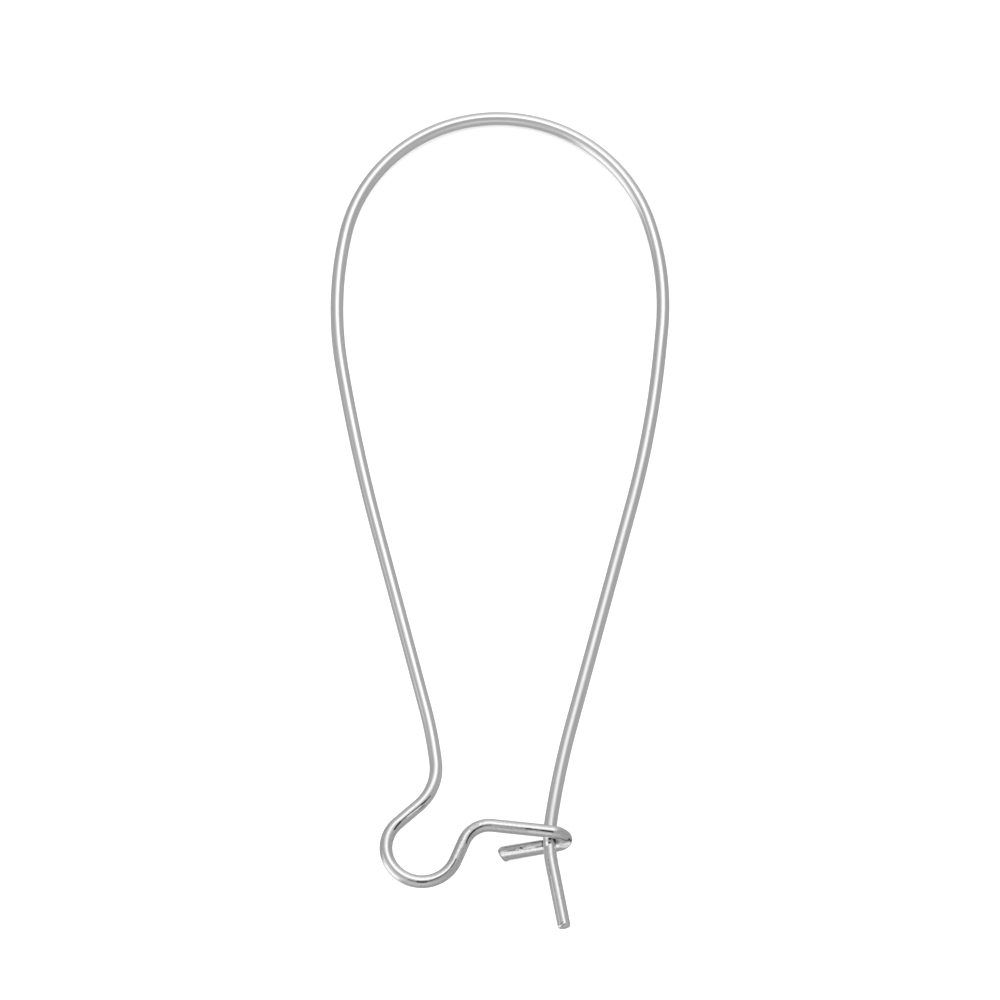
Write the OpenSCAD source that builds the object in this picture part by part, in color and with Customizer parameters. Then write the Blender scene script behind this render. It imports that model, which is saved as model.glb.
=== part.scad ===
// Kidney ear wire: one length of round wire bent to a long loop, with a bead loop and a hooked catch.
// It lies on its back as it would on a table: on the crown of the loop and on the tip of the catch.
// X is across the loop, Y runs from the catch to the crown, Z is up.

/* [Wire] */
// Diameter of the wire
wire_d = 0.72; // [0.6:0.01:0.8]
// Radius on the edge of the pin's end, so that it slides through the ear
pin_end_r = 0.2; // [0.05:0.01:0.25]
// Slant of the sheared end of the catch, in degrees
shear = 20; // [0:1:35]

/* [Loop, catch side] */
// Bend radius over the ear
crown_r_catch = 8.7; // [8:0.1:9.5]
// Bend radius where the crown runs into the leg
shoulder_r_catch = 20.9; // [18:0.1:24]
// Straight length of the leg
leg_catch = 10.75; // [9:0.05:12.5]

/* [Loop, pin side] */
// Bend radius over the ear
crown_r_pin = 8.9; // [8:0.1:9.5]
// Bend radius where the crown runs into the leg
shoulder_r_pin = 15.8; // [13:0.1:19]
// Set of the leg out of the loop's plane, which brings it into the catch, in degrees
pin_set = 1.7; // [1.6:0.01:1.8]
// Bend radius where the pin kicks out
kick_r = 8; // [4:0.5:10]
// Outward bend of the pin's end, in degrees
kick = 19.6; // [10:0.1:25]
// Straight length of the pin's end
pin_end = 3.6; // [3:0.05:8]

/* [Bead loop] */
// Bend radius on its outer side
bead_r_outer = 1.85; // [1.6:0.05:2.1]
// Bend radius on its inner side
bead_r_inner = 2; // [1.7:0.05:2.3]
// Straight length from the leg down to it
bead_entry = 1.55; // [1:0.05:2]
// Straight length from it up to the catch's arm
bead_exit = 1.2; // [0.8:0.05:1.6]

/* [Catch] */
// Run of the arm past the line of the pin's leg, before the hook begins
arm_past = 0.07; // [0:0.01:0.15]
// Distance from the middle of the arm down to the corner of the pin's kick
kick_drop = 0.4; // [0.2:0.01:0.6]
// Bend radius of the hook, on the wire's middle line
hook_r = 0.9; // [0.87:0.01:1]
// Turn of the hook, in degrees
hook_turn = 145.9; // [140:0.1:155]
// Lean of the hook's plane: 90 is square to the loop's plane
hook_lean = 97.7; // [94:0.1:101]
// Straight length of the hook's free end
tip = 3.75; // [2:0.05:4.5]

/* [Hidden] */
$fn = 64;
wire_r = wire_d / 2;
// Every second piece of the wire is fuller by this in radius, and the others run into it by the lap.
full = 0.004;
lap = 0.02;
full_r = wire_r + full;
silver = [0.78, 0.78, 0.79];

// Each row is one step of bending: straight feed, plane of the bend, bend radius and bend angle.
// A bend plane of 0 is flat, to the left of the wire's travel; 90 is up and -90 is down.
FEED = 0;
PLANE = 1;
RADIUS = 2;
ANGLE = 3;

// From the crown down the catch's side and round the bead loop to the arm
to_arm = [
    [0, 0, crown_r_catch, 77.8],     // crown
    [0, 0, shoulder_r_catch, 21.5],  // shoulder
    [0, 0, 108, 5.2],                // slight bow of the leg
    [leg_catch, 0, 23, -7.9],        // foot of the leg
    [0, 0, 2.85, -55.1],             // out to the bead loop
    [bead_entry, 0, bead_r_outer, 72.8],
    [0, 0, bead_r_inner, 132.6],
    [bead_exit, 0, 1.5, -73.1]       // over into the arm
];
// From the crown down the pin's side to its leg
to_leg = [
    [0, 0, crown_r_pin, -71.8],      // crown
    [0, 0, shoulder_r_pin, -23.7],   // shoulder
    [0, -90, 40, pin_set],           // set behind the loop's plane
    [0, 0, 56, -9.4]                 // slight bow of the leg
];
leg_foot = [0, 0, 50, 6.2];          // foot of the leg, before the kick

// Frames along a run, in the loop's own plane and place
function shift(x, y) = [[1, 0, 0, x], [0, 1, 0, y], [0, 0, 1, 0], [0, 0, 0, 1]];
function turn_x(a) = [[1, 0, 0, 0], [0, cos(a), -sin(a), 0], [0, sin(a), cos(a), 0], [0, 0, 0, 1]];
function turn_z(a) = [[cos(a), -sin(a), 0, 0], [sin(a), cos(a), 0, 0], [0, 0, 1, 0], [0, 0, 0, 1]];
function side(row) = row[ANGLE] < 0 ? -row[RADIUS] : row[RADIUS];
function bend_x(row) = side(row) * sin(row[ANGLE]);
function bend_y(row) = side(row) * (1 - cos(row[ANGLE]));
function row_frame(row) =
    shift(row[FEED], 0) * turn_x(row[PLANE]) * shift(bend_x(row), bend_y(row))
    * turn_z(row[ANGLE]) * turn_x(-row[PLANE]);
function run_frame(rows, i = 0) =
    i == len(rows) ? shift(0, 0) : row_frame(rows[i]) * run_frame(rows, i + 1);
function place(frame) = [frame[0][3], frame[1][3]];
function heading(frame) = [frame[0][0], frame[1][0]];

// The pin's leg is long enough to kick out just below the arm, and the arm reaches the pin.
arm_start = turn_z(180) * run_frame(to_arm);
arm_dir = heading(arm_start);
leg_start = run_frame(to_leg);
foot_end = leg_start * row_frame(leg_foot) * shift(kick_r * tan(kick / 2), 0);
leg_pin = (-kick_drop - cross(arm_dir, place(foot_end) - place(arm_start)))
    / cross(arm_dir, heading(leg_start));
kick_corner = place(foot_end) + leg_pin * heading(leg_start);
kick_dir = heading(foot_end);
arm = arm_past + cross(kick_corner - place(arm_start), kick_dir) / cross(arm_dir, kick_dir);

catch_side = concat(to_arm, [[arm, -hook_lean, hook_r, hook_turn]]);
pin_side = concat(to_leg, [[leg_pin, 0, leg_foot[RADIUS], leg_foot[ANGLE]], [0, 0, kick_r, kick]]);
catch_end = turn_z(180) * run_frame(catch_side) * shift(tip, 0);
pin_last = run_frame(pin_side) * shift(pin_end, 0);

// The loop leans back about its crown until the lower edge of the catch's tip is on the table.
dip = [for (i = [0:2]) -catch_end[i][0] * catch_end[2][0] + (i == 2 ? 1 : 0)];
foot = [for (i = [0:2]) catch_end[i][3] - full_r * dip[i] / norm(dip)];
lean = atan2(-foot[2], -foot[1]) - asin(full_r / norm([foot[1], foot[2]]));

// Reach of the loop to one side of its crown, and of the pin's end below the crown
function reach(rows) =
    rows[0][RADIUS] * sin(abs(rows[0][ANGLE]))
    + rows[1][RADIUS] * (1 - sin(abs(rows[0][ANGLE])));
pin_dir = cos(lean) * pin_last[1][0] + sin(lean) * pin_last[2][0];
pin_low = cos(lean) * pin_last[1][3] + sin(lean) * pin_last[2][3]
    - pin_end_r * (1 + pin_dir) - (wire_r - pin_end_r) * sqrt(1 - pin_dir * pin_dir);
crown_x = (reach(catch_side) - reach(pin_side)) / 2;
crown_y = (-pin_low - full_r) / 2;

// A straight piece along +X
module straight(length, is_full) {
    translate([is_full ? 0 : -lap, 0, 0])
        rotate([0, 90, 0])
            cylinder(h = is_full ? length : length + 2 * lap, r = is_full ? full_r : wire_r);
}

// A bend that leaves along +X and turns towards +Y, or towards -Y if the angle is negative
module bend(radius, angle, is_full) {
    s = angle < 0 ? -1 : 1;
    more = is_full ? 0 : lap / radius * 180 / PI;
    translate([0, s * radius, 0])
        rotate([0, 0, (angle < 0 ? 90 + angle : -90) - more])
            rotate_extrude(angle = abs(angle) + 2 * more)
                translate([radius, 0])
                    circle(is_full ? full_r : wire_r);
}

// A run of the wire from its table, full and plain pieces in turn; its children go on its end.
module run(rows, is_full, i = 0) {
    if (i == len(rows)) {
        children();
    } else {
        row = rows[i];
        bend_full = row[FEED] > 0 ? !is_full : is_full;
        if (row[FEED] > 0)
            straight(row[FEED], is_full);
        translate([row[FEED], 0, 0])
            rotate([row[PLANE], 0, 0]) {
                bend(row[RADIUS], row[ANGLE], bend_full);
                translate([bend_x(row), bend_y(row), 0])
                    rotate([0, 0, row[ANGLE]])
                        rotate([-row[PLANE], 0, 0])
                            run(rows, !bend_full, i + 1) children();
            }
    }
}

// Free end of the catch, sheared off at a slant
module catch_tip() {
    difference() {
        straight(tip + wire_d, true);
        translate([tip, 0, 0])
            rotate([atan2(-catch_end[2][2], -catch_end[2][1]) - 90, 0, 0])
                rotate([0, 0, shear])
                    translate([0, -2 * wire_d, -2 * wire_d])
                        cube(4 * wire_d);
    }
}

// Free end of the pin, with its edge rounded off
module pin_tip() {
    rotate([0, 90, 0])
        rotate_extrude()
            union() {
                translate([0, -lap])
                    square([wire_r, pin_end - pin_end_r + lap]);
                translate([0, pin_end - pin_end_r])
                    intersection() {
                        square([wire_r, pin_end_r]);
                        union() {
                            square([wire_r - pin_end_r, pin_end_r]);
                            translate([wire_r - pin_end_r, 0])
                                circle(pin_end_r);
                        }
                    }
            }
}

module ear_wire() {
    color(silver)
        translate([crown_x, crown_y, full_r])
            rotate([-lean, 0, 0]) {
                rotate([0, 0, 180])
                    run(catch_side, false)
                        catch_tip();
                run(pin_side, true)
                    pin_tip();
            }
}

ear_wire();
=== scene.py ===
"""Kidney ear wire of bright plated wire, lying on its back on a pale studio floor.

The wire is one surface carried along the same steps of bending as the part's solid, with what the solid
leaves out: the pressed catch with its sheared end, the rounded pin, knocks and drawing lines, and painted
shade and highlights.
Sizes of the wire are in millimetres and are turned into metres where the mesh is made.
"""

import math
from typing import NamedTuple

import bpy
import numpy as np
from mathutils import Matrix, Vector


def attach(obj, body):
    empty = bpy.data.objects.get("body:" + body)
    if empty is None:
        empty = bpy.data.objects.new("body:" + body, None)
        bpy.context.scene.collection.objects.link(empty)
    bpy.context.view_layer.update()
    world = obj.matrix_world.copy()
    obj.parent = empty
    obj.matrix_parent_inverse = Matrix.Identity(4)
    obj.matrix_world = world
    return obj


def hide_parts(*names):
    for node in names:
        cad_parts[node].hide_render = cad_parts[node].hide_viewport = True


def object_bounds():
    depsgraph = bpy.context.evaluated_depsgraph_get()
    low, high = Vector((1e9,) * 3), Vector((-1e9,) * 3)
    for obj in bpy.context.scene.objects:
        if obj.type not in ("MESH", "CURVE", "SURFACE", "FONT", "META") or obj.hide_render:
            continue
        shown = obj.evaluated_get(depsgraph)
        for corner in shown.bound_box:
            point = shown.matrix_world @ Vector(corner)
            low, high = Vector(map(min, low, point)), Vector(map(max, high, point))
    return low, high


MM = 0.001

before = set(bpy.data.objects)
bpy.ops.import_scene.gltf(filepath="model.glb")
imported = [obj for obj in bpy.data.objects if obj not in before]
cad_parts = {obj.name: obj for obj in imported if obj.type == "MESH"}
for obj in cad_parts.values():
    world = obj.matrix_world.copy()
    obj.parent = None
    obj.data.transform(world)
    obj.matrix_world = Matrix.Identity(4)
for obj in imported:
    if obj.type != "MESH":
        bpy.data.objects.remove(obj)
cad_low, cad_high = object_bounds()

# Camera, in metres and degrees
CAMERA_ELEVATION = 77.0      # above the floor
CAMERA_DISTANCE = 0.6
CAMERA_LENS = 388.8          # focal length and sensor width in millimetres
SENSOR = 36.0
CLIP_NEAR = 0.01
CLIP_FAR = 10.0
AIM = Vector((-0.000002, 0.000830, 0.002316))

# Sizes of the wire, as in the part's source
WIRE_R = 0.36
REST_R = 0.364               # radius of the solid where it touches the floor
CROWN_R_CATCH = 8.7
CROWN_TURN_CATCH = 77.8
SHOULDER_R_CATCH = 20.9
LEG_CATCH = 10.75
CROWN_R_PIN = 8.9
CROWN_TURN_PIN = 71.8
SHOULDER_R_PIN = 15.8
PIN_SET = 1.7
KICK_R = 8.0
KICK = 19.6
PIN_END = 3.6
BEAD_R_OUTER = 1.85
BEAD_R_INNER = 2.0
BEAD_ENTRY = 1.55
BEAD_EXIT = 1.2
ARM_PAST = 0.07
KICK_DROP = 0.4
HOOK_R = 0.9
HOOK_TURN = 145.9
HOOK_LEAN = 97.7
TIP = 3.75


class Step(NamedTuple):
    """Step of bending: a straight feed, then a bend of that radius and angle in degrees.

    The plane is the bend's turn about the wire in degrees. An angle bends the wire to its left in plane 0,
    and up in plane 90.
    """
    feed: float = 0.0
    plane: float = 0.0
    radius: float = 0.0
    angle: float = 0.0


# From the crown down the catch's side to the arm, and down the pin's side to its leg
TO_ARM = [
    Step(radius=CROWN_R_CATCH, angle=CROWN_TURN_CATCH),
    Step(radius=SHOULDER_R_CATCH, angle=21.5),
    Step(radius=108.0, angle=5.2),                         # slight bow of the leg
    Step(feed=LEG_CATCH, radius=23.0, angle=-7.9),         # foot of the leg
    Step(radius=2.85, angle=-55.1),                        # out to the bead loop
    Step(feed=BEAD_ENTRY, radius=BEAD_R_OUTER, angle=72.8),
    Step(radius=BEAD_R_INNER, angle=132.6),
    Step(feed=BEAD_EXIT, radius=1.5, angle=-73.1),         # over into the arm
]
TO_LEG = [
    Step(radius=CROWN_R_PIN, angle=-CROWN_TURN_PIN),
    Step(radius=SHOULDER_R_PIN, angle=-23.7),
    Step(plane=-90.0, radius=40.0, angle=PIN_SET),         # set behind the loop's plane
    Step(radius=56.0, angle=-9.4),                         # slight bow of the leg
]
LEG_FOOT = Step(radius=50.0, angle=6.2)                    # foot of the pin's leg

# Catch's free end: turns about the wire are in degrees from its left towards its up
PRESS_TURN = -34.0           # direction that it was pressed in
PRESS_WIDE = 1.14            # width and thickness left by the press, in wire diameters
PRESS_THIN = 0.92
PRESS_FROM = 3.1             # distances from the end between which the pressing fades out
PRESS_TO = 4.4
SHEAR = 25.0                 # slant of the cut
SHORT_TURN = 36.0            # side that the shears cut shorter
EDGE_DRAGGED = 0.32          # edge radius where the shears pushed in
EDGE_CUT = 0.03              # edge radius on the far side
BURR = 0.05                  # height of the lip on the far side
BURR_SINK = 0.6              # how far the lip draws towards the face, as a share of its height
BURR_TURN = 28.0             # middle of the lip
BURR_SPREAD = 0.55           # reach of the lip round the wire, in radians
BURR_RUN = 0.16              # reach of the lip along the wire
TORN = 0.018                 # relief of the torn face
TORN_WAVES = (9.0, 7.0)      # its ripples across and down the face, in radians a wire's radius
TORN_TURN = 0.4              # turn and shift of the ripples across it, in radians
TORN_SHIFT = 2.0

# Pin's end
PIN_EDGE = 0.2               # edge radius
DOME = 0.03                  # rise of the face's middle
RING = 0.016                 # depth, radius and width of the ring turned in it
RING_R = 0.1
RING_WIDTH = 0.026

# Points of the surface
AROUND = 112                 # round the wire
FLAT_RINGS = 8               # over each end's face, round its edge, and from there to the end of its run
EDGE_RINGS = 10
SIDE_RINGS = 12
END_RUN = 0.7                # length of wire that each end takes up
INNERMOST = 0.08             # radius of the first ring, as a share of the face's
FACE_SHARE = 0.8             # a point further out than this share of the wire's radius is off the face
SIDE_SHARE = 0.9             # and further out than this it is on the side


def unit(v):
    """Each vector divided by its own length."""
    return v / np.linalg.norm(v, axis=-1, keepdims=True)


def fade(x, zero, one):
    """0 at zero and 1 at one, with a level start and finish: 3 t^2 - 2 t^3."""
    t = np.clip((x - zero) / (one - zero), 0, 1)
    return t * t * (3 - 2 * t)


class Arc(NamedTuple):
    """Arc of the wire, or a straight where its curvature is 0.

    It has the distance from the crown, the place and the frame that it begins with. It bends towards its
    side, which is the left turned about the wire by turn, in radians.
    """
    begin: float
    start: np.ndarray
    ahead: np.ndarray
    left: np.ndarray
    up: np.ndarray
    turn: float = 0.0
    curvature: float = 0.0

    def frames(self, run):
        """Place, heading, left and up at each distance run into the arc.

        The place is start + ahead * sin(u) / curvature + side * (1 - cos(u)) / curvature, with u the angle
        run through.
        """
        c, s = math.cos(self.turn), math.sin(self.turn)
        side = self.left * c + self.up * s
        axle = self.up * c - self.left * s
        run = run[:, None]
        u = run * self.curvature
        if self.curvature:
            radius = 1 / self.curvature
            at = self.start + self.ahead * np.sin(u) * radius + side * (1 - np.cos(u)) * radius
        else:
            at = self.start + self.ahead * run
        ahead_u = self.ahead * np.cos(u) + side * np.sin(u)
        side_u = side * np.cos(u) - self.ahead * np.sin(u)
        return at, ahead_u, side_u * c - axle * s, side_u * s + axle * c


class Run:
    """One side of the wire from the crown, as straights and arcs that follow on from each other."""

    def __init__(self, heading, left, steps):
        at = np.zeros(3)
        ahead, left, up = (np.array(v, float) for v in (heading, left, (0, 0, 1)))
        self.arcs = []
        self.length = 0.0
        for step in steps:
            if step.feed:
                self.arcs.append(Arc(self.length, at, ahead, left, up))
                at = at + ahead * step.feed
                self.length += step.feed
            if step.angle:
                curvature = math.copysign(1 / step.radius, step.angle)
                arc = Arc(self.length, at, ahead, left, up, math.radians(step.plane), curvature)
                run = step.radius * math.radians(abs(step.angle))
                at, ahead, left, up = (v[0] for v in arc.frames(np.array([run])))
                self.arcs.append(arc)
                self.length += run

    def along(self, distance):
        """Place, heading, left and up of the wire at each distance from the crown, as four arrays."""
        begins = [arc.begin for arc in self.arcs]
        which = np.clip(np.searchsorted(begins, distance, side="right") - 1, 0, len(begins) - 1)
        out = np.zeros((4, len(distance), 3))
        for i, arc in enumerate(self.arcs):
            here = which == i
            if here.any():
                out[:, here] = arc.frames(distance[here] - arc.begin)
        return out

    def end(self):
        """Frame at the end of the run."""
        return self.along(np.array([self.length]))[:, 0]


def cross_2d(a, b):
    """Signed area between two vectors, seen from above."""
    return a[0] * b[1] - a[1] * b[0]


def catch_run(*more):
    """Run down the catch's side, on past the arm's start by the steps given."""
    return Run((-1, 0, 0), (0, -1, 0), TO_ARM + list(more))


def pin_run(*more):
    """Run down the pin's side, on past its leg's start by the steps given."""
    return Run((1, 0, 0), (0, 1, 0), TO_LEG + list(more))


def both_sides():
    """The two sides of the wire: the pin's leg ends just below the arm, and the arm reaches the pin."""
    arm_at, arm_ahead, *_ = catch_run().end()
    _, leg_ahead, *_ = pin_run().end()
    foot_at, foot_ahead, *_ = pin_run(LEG_FOOT).end()
    corner = foot_at + KICK_R * math.tan(math.radians(KICK / 2)) * foot_ahead
    leg = (-KICK_DROP - cross_2d(arm_ahead, corner - arm_at)) / cross_2d(arm_ahead, leg_ahead)
    corner = corner + leg * leg_ahead
    arm = ARM_PAST + cross_2d(corner - arm_at, foot_ahead) / cross_2d(arm_ahead, foot_ahead)
    hook = Step(feed=arm, plane=-HOOK_LEAN, radius=HOOK_R, angle=HOOK_TURN)
    foot = LEG_FOOT._replace(feed=leg)
    kick = Step(radius=KICK_R, angle=KICK)
    return catch_run(hook, Step(feed=TIP)), pin_run(foot, kick, Step(feed=PIN_END))


CATCH_SIDE, PIN_SIDE = both_sides()
LENGTH = CATCH_SIDE.length + PIN_SIDE.length
CROWN_AT = CATCH_SIDE.length


def reach(crown_r, crown_turn, shoulder_r):
    """How far one side of the loop reaches out from its crown."""
    return shoulder_r + (crown_r - shoulder_r) * math.sin(math.radians(crown_turn))


def resting():
    """Turn of the loop about X, and the place of its crown, that lay the crown and the catch's tip down."""
    tip_at, tip_ahead, *_ = CATCH_SIDE.end()
    foot = tip_at - REST_R * unit(np.array([0.0, 0.0, 1.0]) - tip_ahead * tip_ahead[2])
    lean = math.atan2(-foot[2], -foot[1]) - math.asin(REST_R / math.hypot(foot[1], foot[2]))
    c, s = math.cos(lean), math.sin(lean)
    turn = np.array([[1, 0, 0], [0, c, s], [0, -s, c]])
    catch_reach = reach(CROWN_R_CATCH, CROWN_TURN_CATCH, SHOULDER_R_CATCH)
    pin_reach = reach(CROWN_R_PIN, CROWN_TURN_PIN, SHOULDER_R_PIN)
    crown_x = (cad_high.x + cad_low.x) / MM / 2 + (catch_reach - pin_reach) / 2
    return turn, np.array([crown_x, cad_high.y / MM - REST_R, REST_R])


class Stretch(NamedTuple):
    """Length of the surface with even rings: where it ends, and the longest step allowed between two."""
    end: float
    step: float


def spaced(start, *stretches):
    """Distances from the start over one stretch after another, each in even steps."""
    out = [np.array([start])]
    for stretch in stretches:
        steps = max(1, math.ceil((stretch.end - start) / stretch.step))
        out.append(np.linspace(start, stretch.end, steps + 1)[1:])
        start = stretch.end
    return np.concatenate(out)


def frames_from_tip(distance):
    """Place, heading, left and up of the wire at distances from the catch's tip, round to the pin's end."""
    first = distance < CROWN_AT
    out = np.zeros((4, len(distance), 3))
    out[:, first] = CATCH_SIDE.along(CROWN_AT - distance[first])
    # this side is run backwards, so its heading and left turn round
    out[1:3, first] *= -1
    out[:, ~first] = PIN_SIDE.along(distance[~first] - CROWN_AT)
    return out


def turn_off(turn, middle):
    """Turn from a middle given in degrees, in radians from minus to plus half a turn."""
    return np.angle(np.exp(1j * (turn - math.radians(middle))))


def end_grid(turn, edge, slant=0.0, short_turn=0.0):
    """Depth below the tip and distance from the axis over one end, from its middle out and along the side.

    The face is a plane whose depth is distance * tan(slant) * cos(turn - short_turn). Round the edge, for b
    from 90 degrees to 0, the point lies edge * (1 - cos(b)) inside the wire's radius, and
    edge * (1 - sin(b)) deeper.
    """
    slope = math.tan(math.radians(slant)) * np.cos(turn - math.radians(short_turn))
    flat = np.linspace(INNERMOST, 1, FLAT_RINGS + 1)[:-1, None] * (WIRE_R - edge)
    b = np.radians(np.linspace(90, 0, EDGE_RINGS))[:, None]
    bend = WIRE_R - edge * (1 - np.cos(b))
    distance = np.concatenate([flat, bend, np.full((SIDE_RINGS, AROUND), WIRE_R)])
    rounded = bend * slope + edge * (1 - np.sin(b))
    t = (np.arange(1, SIDE_RINGS + 1) / (SIDE_RINGS + 1))[:, None]
    side = rounded[-1] * (1 - t) + END_RUN * t
    return np.concatenate([flat * slope, rounded, side]), distance


def sheared_end(turn):
    """The catch's end: a slanted cut, rolled over where the shears pushed in, with a lip on the far side.

    The edge radius goes with the squared cosine of the turn from the rolled side; the lip is a bell curve
    round the wire and along it. The torn face is a sine across it times a cosine down it.
    """
    rolled = np.maximum(-np.cos(turn - math.radians(SHORT_TURN)), 0) ** 2
    edge = EDGE_CUT + (EDGE_DRAGGED - EDGE_CUT) * rolled
    depth, distance = end_grid(turn, edge, SHEAR, SHORT_TURN)
    rim = depth[FLAT_RINGS + EDGE_RINGS - 2]
    lip = np.exp(-(turn_off(turn, BURR_TURN) / BURR_SPREAD) ** 2)
    near = np.exp(-((depth - rim) / BURR_RUN) ** 2) * (distance > FACE_SHARE * WIRE_R)
    distance = distance + BURR * lip * near
    depth = depth - BURR_SINK * BURR * lip * near
    across = distance / WIRE_R * np.cos(turn - TORN_TURN)
    down = distance / WIRE_R * np.sin(turn)
    torn = TORN * np.sin(TORN_WAVES[0] * across + TORN_SHIFT) * np.cos(TORN_WAVES[1] * down)
    return depth + torn * (distance < FACE_SHARE * WIRE_R), distance


def pin_point(turn):
    """The pin's end: an edge rounded all round, and a slightly domed face with a shallow ring turned in it.

    The dome goes with the squared distance from the axis, and the ring is a bell curve about its radius.
    """
    depth, distance = end_grid(turn, np.full(AROUND, PIN_EDGE))
    face_r = WIRE_R - PIN_EDGE
    dome = DOME * (np.minimum(distance, face_r) / face_r) ** 2
    ring = RING * np.exp(-((distance - RING_R) / RING_WIDTH) ** 2)
    return depth + (dome + ring) * (depth < PIN_EDGE) * (1 - depth / PIN_EDGE), distance


def pressed(x, y, amount):
    """Section squeezed in the press: turned to it, made wider and thinner by amount, and turned back."""
    c, s = math.cos(math.radians(PRESS_TURN)), math.sin(math.radians(PRESS_TURN))
    thin = (x * c + y * s) * (1 + (PRESS_THIN - 1) * amount)
    wide = (y * c - x * s) * (1 + (PRESS_WIDE - 1) * amount)
    return thin * c - wide * s, thin * s + wide * c


class Knock(NamedTuple):
    """Small knock: its distance along the wire and turn round it in degrees, its reach and its depth.

    Length and width are its reach along and across the wire, and rim is the rim's height.
    """
    at: float
    turn: float
    length: float
    width: float
    depth: float
    rim: float


KNOCKS = [
    Knock(at=1.54, turn=-74, length=0.11, width=0.075, depth=0.022, rim=0.008),
    Knock(at=LENGTH - 3.71, turn=121, length=0.10, width=0.04, depth=0.016, rim=0.004),
    Knock(at=LENGTH - 3.47, turn=125, length=0.14, width=0.03, depth=0.010, rim=0.003),
]
HOLLOW_FALL = 1.4            # how fast a knock's hollow rises again from its middle
RIM_AT = 1.35                # radius and width of its rim, counted in the knock's own length and width
RIM_WIDTH = 0.35


def knock_depth(along, turn):
    """Depth of all knocks: each a bell-shaped hollow with a raised rim.

    With q the distance from its middle, counted in its own length and width, the hollow is
    depth * exp(-HOLLOW_FALL * q^2) and the rim is rim * exp(-((q - RIM_AT) / RIM_WIDTH)^2).
    """
    depth = np.zeros_like(along)
    for knock in KNOCKS:
        off = turn_off(turn, knock.turn) * WIRE_R
        q = np.hypot((along - knock.at) / knock.length, off / knock.width)
        depth += knock.depth * np.exp(-q ** 2 * HOLLOW_FALL)
        depth -= knock.rim * np.exp(-((q - RIM_AT) / RIM_WIDTH) ** 2)
    return depth


ARM_RUN = 3.2                # just over the arm's length
ABOVE_BEAD_LOOP = 22.0       # distance from the tip, in the bend above the bead loop
ABOVE_FOOT = 27.0            # and just above the leg's foot
KICK_RUN = 2.4               # most of the kick's bend


def rings_between_ends():
    """Distances of the rings: closest over the catch and the pin's end, widest over the long loop."""
    above_arm = TIP + HOOK_R * math.radians(HOOK_TURN) + ARM_RUN
    return spaced(END_RUN,
                  Stretch(end=above_arm, step=0.04),
                  Stretch(end=ABOVE_BEAD_LOOP, step=0.06),
                  Stretch(end=ABOVE_FOOT, step=0.16),
                  Stretch(end=CROWN_AT, step=0.5),
                  Stretch(end=LENGTH - PIN_END - KICK_RUN, step=0.5),
                  Stretch(end=LENGTH - END_RUN, step=0.05))


def wire_surface():
    """Grid of points along and round the whole wire, from the catch's sheared end to the pin's end.

    Each point is place + distance * (left * cos(turn) + up * sin(turn)), with the ends' own depths and
    distances. Gives the points, their place on the wire (distance along it and the offset from its middle),
    and the middles of both ends.
    """
    turn = np.arange(AROUND) * 2 * math.pi / AROUND
    middle = rings_between_ends()
    shear_depth, shear_distance = sheared_end(turn)
    pin_depth, pin_distance = pin_point(turn)
    along = np.concatenate([shear_depth,
                            np.broadcast_to(middle[:, None], (len(middle), AROUND)),
                            LENGTH - pin_depth[::-1]])
    distance = np.concatenate([shear_distance,
                               np.full((len(middle), AROUND), WIRE_R),
                               pin_distance[::-1]])
    distance = distance - knock_depth(along, turn) * (distance > SIDE_SHARE * WIRE_R)
    # the ends lie in the frames of the two tips
    ring = np.concatenate([np.zeros(len(shear_depth)), middle, np.full(len(pin_depth), LENGTH)])
    at, ahead, left, up = frames_from_tip(ring)
    x, y = distance * np.cos(turn), distance * np.sin(turn)
    place = np.stack([along, x, y], axis=-1)
    x, y = pressed(x, y, 1 - fade(along, PRESS_FROM, PRESS_TO))
    points = (at[:, None] + ahead[:, None] * (along - ring[:, None])[..., None]
              + left[:, None] * x[..., None] + up[:, None] * y[..., None])
    ends = np.stack([at[0] + ahead[0] * shear_depth[0].mean(), at[-1] - ahead[-1] * pin_depth[0].mean()])
    return points, place, ends


class Mark(NamedTuple):
    """Mark drawn along a line on the surface.

    Its start and end are distances along the wire, each with the turn round it in degrees.
    """
    start: float
    start_turn: float
    end: float
    end_turn: float
    half_width: float
    strength: float
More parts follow.
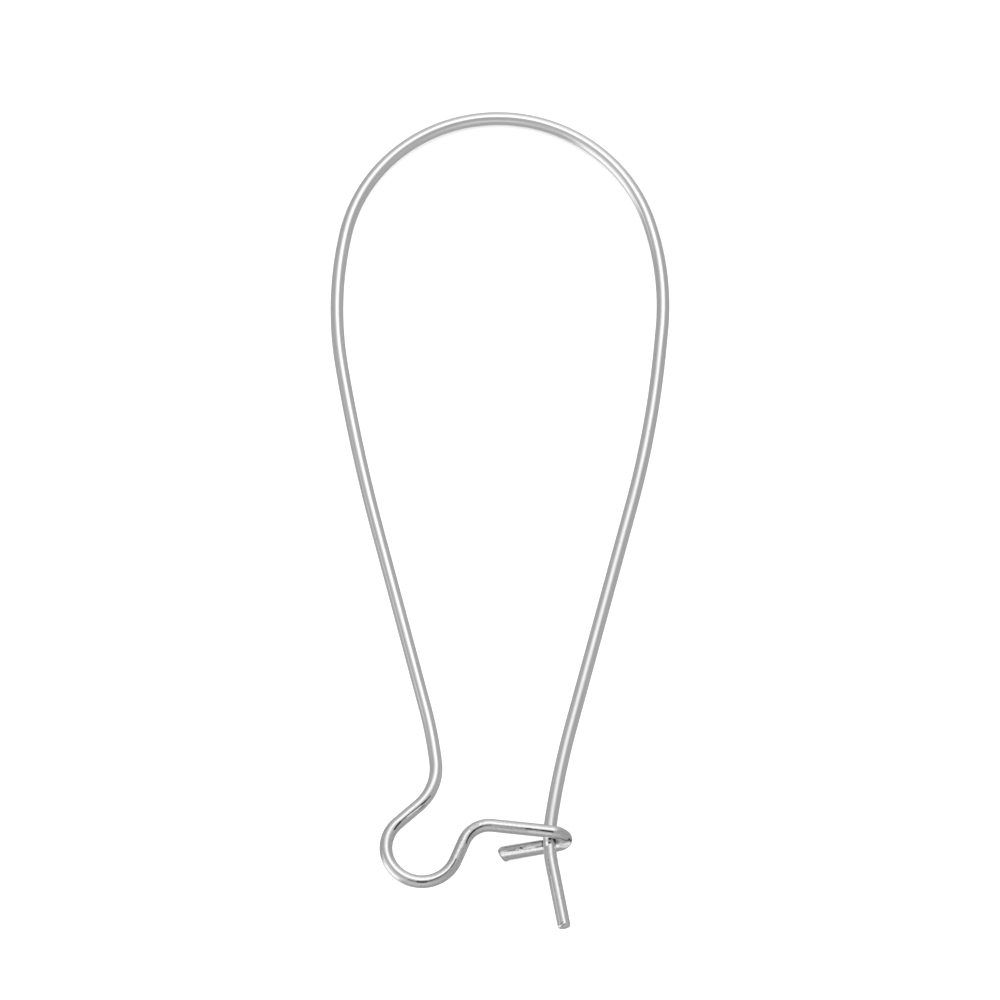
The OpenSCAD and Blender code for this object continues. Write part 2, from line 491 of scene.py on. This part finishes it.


# Marks by their distance from the catch's tip: dark ones of painted shade and dark reflections, and pale
# ones of painted highlights and reflections. The columns are those of Mark: start and its turn, end and its
# turn, half width, strength.
DARK_FROM_TIP = {
    # painted dark reflection lines along the slant, the bead loop's foot, the bend and the arm
    "dark lines on the slant": [
        (21.65, 122, 21.3, 116, 0.05, 0.7),
        (21.3, 116, 20.95, 112, 0.06, 0.9),
        (20.95, 112, 20.2, 105, 0.038, 0.7),
        (20.2, 105, 19.5, 108, 0.038, 0.8),
        (19.5, 108, 18.9, 119, 0.065, 1.0),
        (21.1, 136, 20.75, 132, 0.07, 0.35),
    ],
    "foot of the bead loop": [
        (15.4, 71, 14.95, 71, 0.045, 0.5),
        (14.95, 71, 14.45, 72, 0.062, 1.0),
        (14.45, 72, 13.9, 79, 0.042, 0.7),
        (13.9, 79, 12.9, 83, 0.042, 0.75),
        (12.9, 83, 12.35, 84, 0.055, 0.9),
        (12.35, 84, 11.7, 80, 0.035, 0.4),
    ],
    "bend into the arm": [
        (11.3, 59, 10.9, 63, 0.055, 0.9),
        (10.9, 63, 10.3, 70, 0.065, 1.0),
        (10.3, 70, 9.8, 74, 0.05, 0.9),
        (9.8, 74, 9.3, 75, 0.04, 0.5),
        (10.5, 92, 10.0, 100, 0.07, 0.35),
    ],
    "arm": [
        (7.9, 75, 7.35, 75, 0.035, 0.35),
        (7.35, 77, 7.1, 77, 0.055, 1.0),
        (7.1, 77, 6.5, 76, 0.04, 0.85),
        (6.5, 76, 5.92, 73, 0.055, 1.0),
    ],
    "dark line over the hook, with two specks": [
        # painted shade where the hook's front strand turns away over the back strand, with two dark specks
        (5.84, 7, 5.5, 30, 0.04, 0.5),
        (5.5, 30, 5.18, 36, 0.045, 0.6),
        (5.18, 36, 4.88, 76, 0.05, 0.85),
        (5.04, 66, 5.04, 70, 0.075, 1.0),
        (4.86, 69, 4.84, 75, 0.07, 1.0),
    ],
    # painted dark reflection along the pressed face's edge, and painted shade on the face beside the pin
    "edge of the pressed face": [
        (0.4, -103, 2.2, -105, 0.045, 0.5),
        (2.2, -105, 3.3, -104, 0.055, 0.85),
    ],
    "pressed face beside the pin": [(2.91, -102, 2.92, -54, 0.045, 1.0)],
    # painted shade on the sheared face's edge and in the knock's hollow
    "edge of the cut": [(0.06, -78, 0.14, 4, 0.06, 0.7)],
    "bottom of the knock": [(1.47, -76, 1.56, -73, 0.06, 0.9)],
}
# Pale, matt marks that are painted highlights and reflections: the hook's patch and light lines on the
# pressed face, arm and slant
PAINTED_LIGHT_FROM_TIP = {
    "pale patch on the hook": [(4.36, -42, 4.72, 24, 0.27, 0.6)],
    "pressed face": [(1.9, -75, 3.3, -72, 0.07, 0.25)],
    "arm": [(7.2, 55, 6.0, 52, 0.06, 0.2)],
    "slant": [(20.9, 121, 19.9, 114, 0.03, 0.45)],
}
# Marks by their distance from the pin's end: dark ones of painted shade and dark reflections, and pale
# painted highlights
DARK_FROM_PIN = {
    # painted dark reflection line down the pin
    "dark line down the pin": [
        (3.95, 118, 3.6, 120, 0.04, 0.3),
        (3.6, 120, 3.1, 121, 0.03, 0.4),
    ],
    # painted shade on the pin just under the arm
    "specks under the arm": [
        (5.094, 90, 5.094, 84, 0.09, 1.0),
        (4.854, 96, 4.874, 90, 0.08, 1.0),
        (4.994, 44, 4.894, 22, 0.08, 1.0),
    ],
    # painted shade on the edges of the ring turned in the end
    "edges of the ring turned on the end": [
        (0.21, 128, 0.33, 94, 0.04, 0.55),
        (0.09, 116, 0.21, 76, 0.04, 0.5),
    ],
}
PAINTED_LIGHT_FROM_PIN = {
    # painted highlights: two glints on the pin just under the arm
    "glints under the arm": [
        (5.174, 122, 5.114, 118, 0.085, 1.0),
        (4.914, 118, 4.794, 114, 0.085, 1.0),
    ],
}
DARK_CORE = 0.4              # share of a mark's half width over which it is full
PAINTED_LIGHT_CORE = 0.75


def all_marks(from_tip, from_pin):
    """Rows of both tables as marks, all by their distance from the catch's tip."""
    marks = [Mark(*row) for rows in from_tip.values() for row in rows]
    pin_marks = [Mark(*row) for rows in from_pin.values() for row in rows]
    for mark in pin_marks:
        marks.append(mark._replace(start=LENGTH - mark.start, end=LENGTH - mark.end))
    return marks


def marked(along, turn, marks, core):
    """Strength of the marks at each point: full over the core of each line's width, and gone at its edge.

    The distance is taken on the wire's surface, rolled out flat, to the nearest place of the line.
    """
    strength = np.zeros_like(along)
    for mark in marks:
        x, y = along - mark.start, turn_off(turn, mark.start_turn) * WIRE_R
        run = mark.end - mark.start
        rise = math.radians(mark.end_turn - mark.start_turn) * WIRE_R
        t = np.clip((x * run + y * rise) / (run * run + rise * rise), 0, 1)
        off = np.hypot(x - t * run, y - t * rise)
        shape = fade(off, mark.half_width, core * mark.half_width)
        strength = np.maximum(strength, mark.strength * shape)
    return strength


CATCH_REACH = 12.0           # lengths of the catch and of the pin that may lie close to each other
PIN_REACH = 8.0
LINE_STEP = 0.06             # spacing of the places that the gap is measured to
CREVICE_FULL = 0.13          # gaps between which the painted shade fades out
CREVICE_GONE = 0.25
CREVICE_SHADE = 0.8


def shade_in_crevices(points, along):
    """Painted shade where the catch and the pin almost touch.

    The gap is the distance to the other one's middle line, less the wire's radius. The painted shade is
    CREVICE_SHADE under CREVICE_FULL and gone over CREVICE_GONE.
    """
    hidden = np.zeros(along.shape)
    near_catch, near_pin = along < CATCH_REACH, along > LENGTH - PIN_REACH
    catch_line, *_ = frames_from_tip(np.arange(0.0, CATCH_REACH, LINE_STEP))
    pin_line, *_ = frames_from_tip(np.arange(LENGTH - PIN_REACH, LENGTH, LINE_STEP))
    for these, line in ((near_catch, pin_line), (near_pin, catch_line)):
        gap = np.linalg.norm(points[these][:, None] - line, axis=-1).min(axis=1) - WIRE_R
        hidden[these] = CREVICE_SHADE * (1 - fade(gap, CREVICE_FULL, CREVICE_GONE))
    return hidden


# Bent, pressed and handled lengths: distances from the catch's tip, or from the pin's end, between which
# each fades in, and how much of the film it brings
WORKED_BEAD_LOOP = (23.0, 20.5)
WORKED_CATCH = (15.5, 13.5)
WORKED_PIN = (9.0, 6.0)
FILM_BEAD_LOOP = 0.5
FILM_CATCH = 0.5             # on top of the bead loop's
FILM_PIN = 0.4


def worked(along):
    """Film on the worked lengths: most on the catch, half on the bead loop, less on the pin's end."""
    catch = FILM_BEAD_LOOP * fade(along, *WORKED_BEAD_LOOP) + FILM_CATCH * fade(along, *WORKED_CATCH)
    pin = FILM_PIN * fade(LENGTH - along, *WORKED_PIN)
    return np.maximum(catch, pin)


def grid_mesh(name, points, place, ends, masks):
    """Mesh of a closed tube from its grid of points, with one point more at the middle of each end."""
    rings, around = points.shape[:2]
    i = np.arange(rings - 1)[:, None] * around
    j = np.arange(around)
    k = (j + 1) % around
    quads = np.stack([i + j, i + around + j, i + around + k, i + k], axis=-1).reshape(-1, 4)
    first, last = rings * around, rings * around + 1
    last_ring = (rings - 1) * around
    start = np.stack([np.full(around, first), j, k], axis=-1)
    end = np.stack([np.full(around, last), last_ring + k, last_ring + j], axis=-1)
    faces = quads.tolist() + start.tolist() + end.tolist()
    mesh = bpy.data.meshes.new(name)
    mesh.from_pydata(np.concatenate([points.reshape(-1, 3), ends]), [], faces)
    mesh.update()
    mesh.polygons.foreach_set("use_smooth", np.ones(len(mesh.polygons), bool))
    where = mesh.attributes.new("wire_place", "FLOAT_VECTOR", "POINT")
    end_places = np.array([[place[0, 0, 0], 0, 0], [place[-1, 0, 0], 0, 0]])
    all_places = np.concatenate([place.reshape(-1, 3), end_places])
    where.data.foreach_set("vector", all_places.ravel().astype(np.float32))
    for mask, values in masks.items():
        attribute = mesh.attributes.new(mask, "FLOAT", "POINT")
        all_values = np.concatenate([values.ravel(), values[[0, -1], 0]])
        attribute.data.foreach_set("value", all_values.astype(np.float32))
    return mesh


def bent_wire():
    """The whole wire as one object, in metres and in its place on the floor."""
    points, place, ends = wire_surface()
    along, turn = place[..., 0], np.arctan2(place[..., 2], place[..., 1])
    dark = marked(along, turn, all_marks(DARK_FROM_TIP, DARK_FROM_PIN), DARK_CORE)
    masks = {
        # painted shade: darkening in the crevices and along the dark marks
        "painted_shade": np.maximum(shade_in_crevices(points, along), dark),
        "painted_light": marked(along, turn, all_marks(PAINTED_LIGHT_FROM_TIP, PAINTED_LIGHT_FROM_PIN), PAINTED_LIGHT_CORE),
        "worked": worked(along),
    }
    lean, crown = resting()
    points = (points @ lean.T + crown) * MM
    ends = (ends @ lean.T + crown) * MM
    wire = bpy.data.objects.new("bent_wire", grid_mesh("bent_wire", points, place, ends, masks))
    bpy.context.scene.collection.objects.link(wire)
    return wire


wire = bent_wire()
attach(wire, "root")
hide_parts("ear_wire")


# Materials
def node(tree, kind, inputs=(), **settings):
    """New node with its settings, and with the given inputs either joined to a socket or set to a value."""
    made = tree.nodes.new("ShaderNode" + kind)
    for name, value in settings.items():
        setattr(made, name, value)
    for name, value in dict(inputs).items():
        if isinstance(value, bpy.types.NodeSocket):
            tree.links.new(value, made.inputs[name])
        else:
            made.inputs[name].default_value = value
    return made


def chained(tree, kind, *terms):
    """Terms added, multiplied or compared one after another."""
    total = terms[0]
    for term in terms[1:]:
        total = node(tree, "Math", {0: total, 1: term}, operation=kind).outputs[0]
    return total


def stretched_noise(tree, place, along, across, detail=3.0, roughness=0.55, seed=0.0):
    """Noise on the wire with so many waves a millimetre along it and across it."""
    spread = node(tree, "VectorMath", {0: place, 1: (along, across, across), 2: (seed, seed, seed)},
                  operation="MULTIPLY_ADD")
    noise = node(tree, "TexNoise", {"Vector": spread.outputs[0], "Scale": 1.0, "Detail": detail,
                                    "Roughness": roughness})
    return noise.outputs["Fac"]


def ranged(tree, value, low, high, to_low=0.0, to_high=1.0):
    """Value brought from one range into another, and held at its ends."""
    made = node(tree, "MapRange", {"Value": value, "From Min": low, "From Max": high,
                                   "To Min": to_low, "To Max": to_high})
    return made.outputs[0]


PIT_DEPTH = 1.5              # in thousandths of a millimetre
FINE_LINES = 0.6             # weight of the fine drawing lines beside the coarse ones
# Noise values between which each mask rises
PIT_RISE = (0.74, 0.8)
LINE_RISE = (0.65, 0.95)
DULL_RISE = (0.42, 0.66)
MOTTLE_RISE = (0.36, 0.64)


def drawn_and_plated():
    """Node group of the marks on drawn and plated wire; heights are in thousandths of a millimetre.

    Lines are noise drawn out along the wire, in a fine and a coarse set. Peel is the plating's soft
    waviness, and wave the wire's own. Pits are the rare peaks of a fine noise, dull is blotches of rougher
    plating, and mottle is the grain of the worked lengths' film and of the painted highlights.
    """
    group = bpy.data.node_groups.new("drawn_and_plated", "ShaderNodeTree")
    for name, kind in (("Place", "Vector"), ("Lines", "Float"), ("Peel", "Float"), ("Wave", "Float")):
        group.interface.new_socket(name, in_out="INPUT", socket_type="NodeSocket" + kind)
    for name in ("Height", "Line Mask", "Pit Mask", "Dull Mask", "Mottle"):
        group.interface.new_socket(name, in_out="OUTPUT", socket_type="NodeSocketFloat")
    given = group.nodes.new("NodeGroupInput").outputs
    out = group.nodes.new("NodeGroupOutput").inputs
    place = given["Place"]
    fine = stretched_noise(group, place, along=0.6, across=20)
    coarse = stretched_noise(group, place, along=0.35, across=7, seed=3)
    peel = stretched_noise(group, place, along=2.6, across=4.2, detail=2, seed=7)
    wave = stretched_noise(group, place, along=0.55, across=1.0, detail=1, seed=11)
    speck = stretched_noise(group, place, along=5.0, across=11.0, detail=1, seed=17)
    blotch = stretched_noise(group, place, along=0.9, across=2.4, detail=4, seed=23)
    mottle = stretched_noise(group, place, along=6.5, across=10.0, detail=3, roughness=0.7, seed=31)
    pits = ranged(group, speck, *PIT_RISE)
    lines = chained(group, "ADD", chained(group, "MULTIPLY", fine, FINE_LINES), coarse)
    height = chained(group, "ADD",
                     chained(group, "MULTIPLY", lines, given["Lines"]),
                     chained(group, "MULTIPLY", peel, given["Peel"]),
                     chained(group, "MULTIPLY", wave, given["Wave"]),
                     chained(group, "MULTIPLY", pits, -PIT_DEPTH))
    group.links.new(height, out["Height"])
    group.links.new(ranged(group, lines, *LINE_RISE), out["Line Mask"])
    group.links.new(pits, out["Pit Mask"])
    group.links.new(ranged(group, blotch, *DULL_RISE), out["Dull Mask"])
    group.links.new(ranged(group, mottle, *MOTTLE_RISE), out["Mottle"])
    return group


def blended(tree, amount, first, second):
    """Colour that goes from the first to the second by amount."""
    return node(tree, "Mix", {0: amount, 6: first, 7: second}, data_type="RGBA").outputs[2]


def grey(value):
    """Opaque grey of that value."""
    return (value, value, value, 1)


LINE_SHADE = 0.93            # brightness left in the drawing lines and under the film
FILM_SHADE = 0.72
PIT_SHADE = 0.5              # how dark the pits are, beside the painted shade
FILM_GRAIN = (0.25, 0.85)    # film between and on the mottle's grains
PAINTED_LIGHT_GRAIN = (1.0, 0.7)    # painted highlights between and on them
PAINTED_LIGHT_METAL = 0.1           # Metallic left under the painted highlights
PAINTED_LIGHT_ROUGH = 0.5           # Roughness added there


def metal(name, marks, lines, peel, wave, bright, dark, painted_light_grey, rough, rough_dull):
    """Bright metal with the wire's marks: darker in the lines and pits, painted shade in the crevices and
    along the dark marks, duller under the film.

    Where highlights are painted it turns pale and matt. Bright and dark are the greys of the plating and of
    the painted shade and pits, and the third grey is that of the painted highlights. Rough and rough_dull
    are the Roughness of the plating and of its dull blotches.
    """
    material = bpy.data.materials.new(name)
    material.use_nodes = True
    tree = material.node_tree
    shader = tree.nodes["Principled BSDF"]
    place = node(tree, "Attribute", attribute_name="wire_place").outputs["Vector"]
    painted_shade, painted_light, worked_on = (node(tree, "Attribute", attribute_name=mask).outputs["Fac"]
                                  for mask in ("painted_shade", "painted_light", "worked"))
    finish = node(tree, "Group", node_tree=marks)
    tree.links.new(place, finish.inputs["Place"])
    for socket, value in (("Lines", lines), ("Peel", peel), ("Wave", wave)):
        finish.inputs[socket].default_value = value
    mottle = finish.outputs["Mottle"]
    film = chained(tree, "MULTIPLY", worked_on, ranged(tree, mottle, 0, 1, *FILM_GRAIN))
    painted_light = chained(tree, "MULTIPLY", painted_light, ranged(tree, mottle, 0, 1, *PAINTED_LIGHT_GRAIN))
    pits = chained(tree, "MULTIPLY", finish.outputs["Pit Mask"], PIT_SHADE)
    pits_and_painted_shade = chained(tree, "MAXIMUM", painted_shade, pits)
    colour = blended(tree, finish.outputs["Line Mask"], grey(bright), grey(bright * LINE_SHADE))
    colour = blended(tree, film, colour, grey(bright * FILM_SHADE))
    # painted shade, together with the pits, in a near-black grey
    colour = blended(tree, pits_and_painted_shade, colour, grey(dark))
    # painted highlights and reflections, in a pale grey
    colour = blended(tree, painted_light, colour, grey(painted_light_grey))
    tree.links.new(colour, shader.inputs["Base Color"])
    tree.links.new(ranged(tree, painted_light, 0, 1, 1.0, PAINTED_LIGHT_METAL), shader.inputs["Metallic"])
    roughness = ranged(tree, finish.outputs["Dull Mask"], 0, 1, rough, rough_dull)
    roughness = chained(tree, "ADD", roughness, chained(tree, "MULTIPLY", painted_light, PAINTED_LIGHT_ROUGH))
    tree.links.new(roughness, shader.inputs["Roughness"])
    bump = node(tree, "Bump", {"Height": finish.outputs["Height"], "Strength": 1.0, "Distance": 0.001 * MM})
    tree.links.new(bump.outputs["Normal"], shader.inputs["Normal"])
    return material


silver_plate = metal("bright_silver_plate", drawn_and_plated(), lines=1.0, peel=1.6, wave=8.0,
                     bright=0.88, dark=0.06, painted_light_grey=0.85, rough=0.05, rough_dull=0.11)
wire.data.materials.append(silver_plate)


# Studio
FLOOR_HALF = 2.0             # half the floor's width, in metres
PAPER = 0.9
PAPER_ROUGHNESS = 0.8
PAPER_SHINE = 0.1


class SoftBox(NamedTuple):
    """Soft box by its direction and roll in degrees.

    Width and height are the sines of its half angles, and right, left, foot and head those over which its
    edges fade. Glow is its brightness.
    """
    azimuth: float
    elevation: float
    roll: float
    width: float
    height: float
    right: float
    left: float
    foot: float
    head: float
    glow: float


KEY = SoftBox(azimuth=85, elevation=61, roll=-6, width=0.41, height=0.17,
              right=0.6, left=0.85, foot=2.6, head=0.6, glow=1.95)
SIDE = SoftBox(azimuth=208, elevation=-2, roll=-1, width=0.325, height=0.54,
               right=0.28, left=0.28, foot=1.2, head=1.25, glow=0.87)
FRONT_CARD = SoftBox(azimuth=269, elevation=31, roll=8, width=0.54, height=0.27,
                     right=1.0, left=0.85, foot=1.0, head=0.35, glow=0.28)
SIDE_CARD = SoftBox(azimuth=181, elevation=19, roll=13, width=0.1, height=0.19,
                    right=0.38, left=0.2, foot=0.25, head=0.25, glow=0.5)


def paper_floor():
    """Plain white floor round the origin, which the wire doesn't reflect."""
    mesh = bpy.data.meshes.new("floor")
    corners = [(x * FLOOR_HALF, y * FLOOR_HALF, 0) for x, y in ((-1, -1), (1, -1), (1, 1), (-1, 1))]
    mesh.from_pydata(corners, [], [(0, 1, 2, 3)])
    floor = bpy.data.objects.new("floor", mesh)
    bpy.context.scene.collection.objects.link(floor)
    paper = bpy.data.materials.new("white_paper")
    paper.use_nodes = True
    shader = paper.node_tree.nodes["Principled BSDF"]
    shader.inputs["Base Color"].default_value = grey(PAPER)
    shader.inputs["Roughness"].default_value = PAPER_ROUGHNESS
    shader.inputs["Specular IOR Level"].default_value = PAPER_SHINE
    mesh.materials.append(paper)
    floor.visible_glossy = False


def sphere(azimuth, elevation):
    """Direction at an azimuth from +X towards +Y and an elevation, in degrees."""
    a, e = math.radians(azimuth), math.radians(elevation)
    return Vector((math.cos(a) * math.cos(e), math.sin(a) * math.cos(e), math.sin(e)))


def on_axis(tree, toward, axis):
    """How far the direction looked in points along an axis, as a cosine."""
    return node(tree, "VectorMath", {0: toward, 1: axis}, operation="DOT_PRODUCT").outputs["Value"]


def box_edge(tree, toward, axis, half, fading):
    """1 inside one edge of a soft box and 0 outside it, faded softly over the edge."""
    made = node(tree, "MapRange", {"Value": on_axis(tree, toward, axis),
                                   "From Min": half + fading / 2, "From Max": half - fading / 2},
                interpolation_type="SMOOTHSTEP")
    return made.outputs[0]


def brightness(tree, toward, box):
    """Brightness of one soft box by direction: its glow inside, faded out over its four edges."""
    facing = sphere(box.azimuth, box.elevation)
    across = Vector((0, 0, 1)).cross(facing).normalized()
    upright = facing.cross(across)
    c, s = math.cos(math.radians(box.roll)), math.sin(math.radians(box.roll))
    across, upright = across * c + upright * s, upright * c - across * s
    front = chained(tree, "GREATER_THAN", on_axis(tree, toward, facing), 0.0)
    return chained(tree, "MULTIPLY", front,
                   box_edge(tree, toward, across, box.width, box.left),
                   box_edge(tree, toward, -across, box.width, box.right),
                   box_edge(tree, toward, upright, box.height, box.head),
                   box_edge(tree, toward, -upright, box.height, box.foot),
                   box.glow)


def studio(paper_light, walls, gap, gap_width):
    """Pale surroundings with a key, a side box and two faint cards for what the wire reflects.

    Everything else gets an even light. The surroundings are darker by gap towards the camera's place, over
    gap_width degrees.
    """
    world = bpy.data.worlds.new("studio")
    bpy.context.scene.world = world
    world.use_nodes = True
    tree = world.node_tree
    toward = node(tree, "TexCoord").outputs["Generated"]
    boxes = [brightness(tree, toward, box) for box in (KEY, SIDE, FRONT_CARD, SIDE_CARD)]
    near = on_axis(tree, toward, sphere(-90, CAMERA_ELEVATION))
    darker = node(tree, "MapRange", {"Value": near, "From Min": math.cos(math.radians(gap_width)),
                                     "From Max": 1.0, "To Min": 0.0, "To Max": -gap},
                  interpolation_type="SMOOTHSTEP").outputs[0]
    seen = chained(tree, "ADD", darker, walls, *boxes)
    reflected = node(tree, "LightPath").outputs["Is Glossy Ray"]
    picked = node(tree, "Mix", {0: reflected, 2: paper_light, 3: seen})
    background = tree.nodes["Background"]
    background.inputs["Color"].default_value = grey(1.0)
    tree.links.new(picked.outputs[0], background.inputs["Strength"])


def photo_camera():
    """Camera at the photograph's angle, far off and long, with no shift."""
    lens = bpy.data.cameras.new("camera")
    lens.sensor_width = SENSOR
    lens.lens = CAMERA_LENS
    lens.clip_start = CLIP_NEAR
    lens.clip_end = CLIP_FAR
    camera = bpy.data.objects.new("camera", lens)
    camera.location = AIM + CAMERA_DISTANCE * sphere(-90, CAMERA_ELEVATION)
    camera.rotation_euler = (math.radians(90 - CAMERA_ELEVATION), 0, 0)
    bpy.context.scene.collection.objects.link(camera)
    bpy.context.scene.camera = camera


paper_floor()
studio(paper_light=1.7, walls=0.435, gap=0.02, gap_width=20)
photo_camera()
bpy.context.scene.view_settings.view_transform = "Standard"
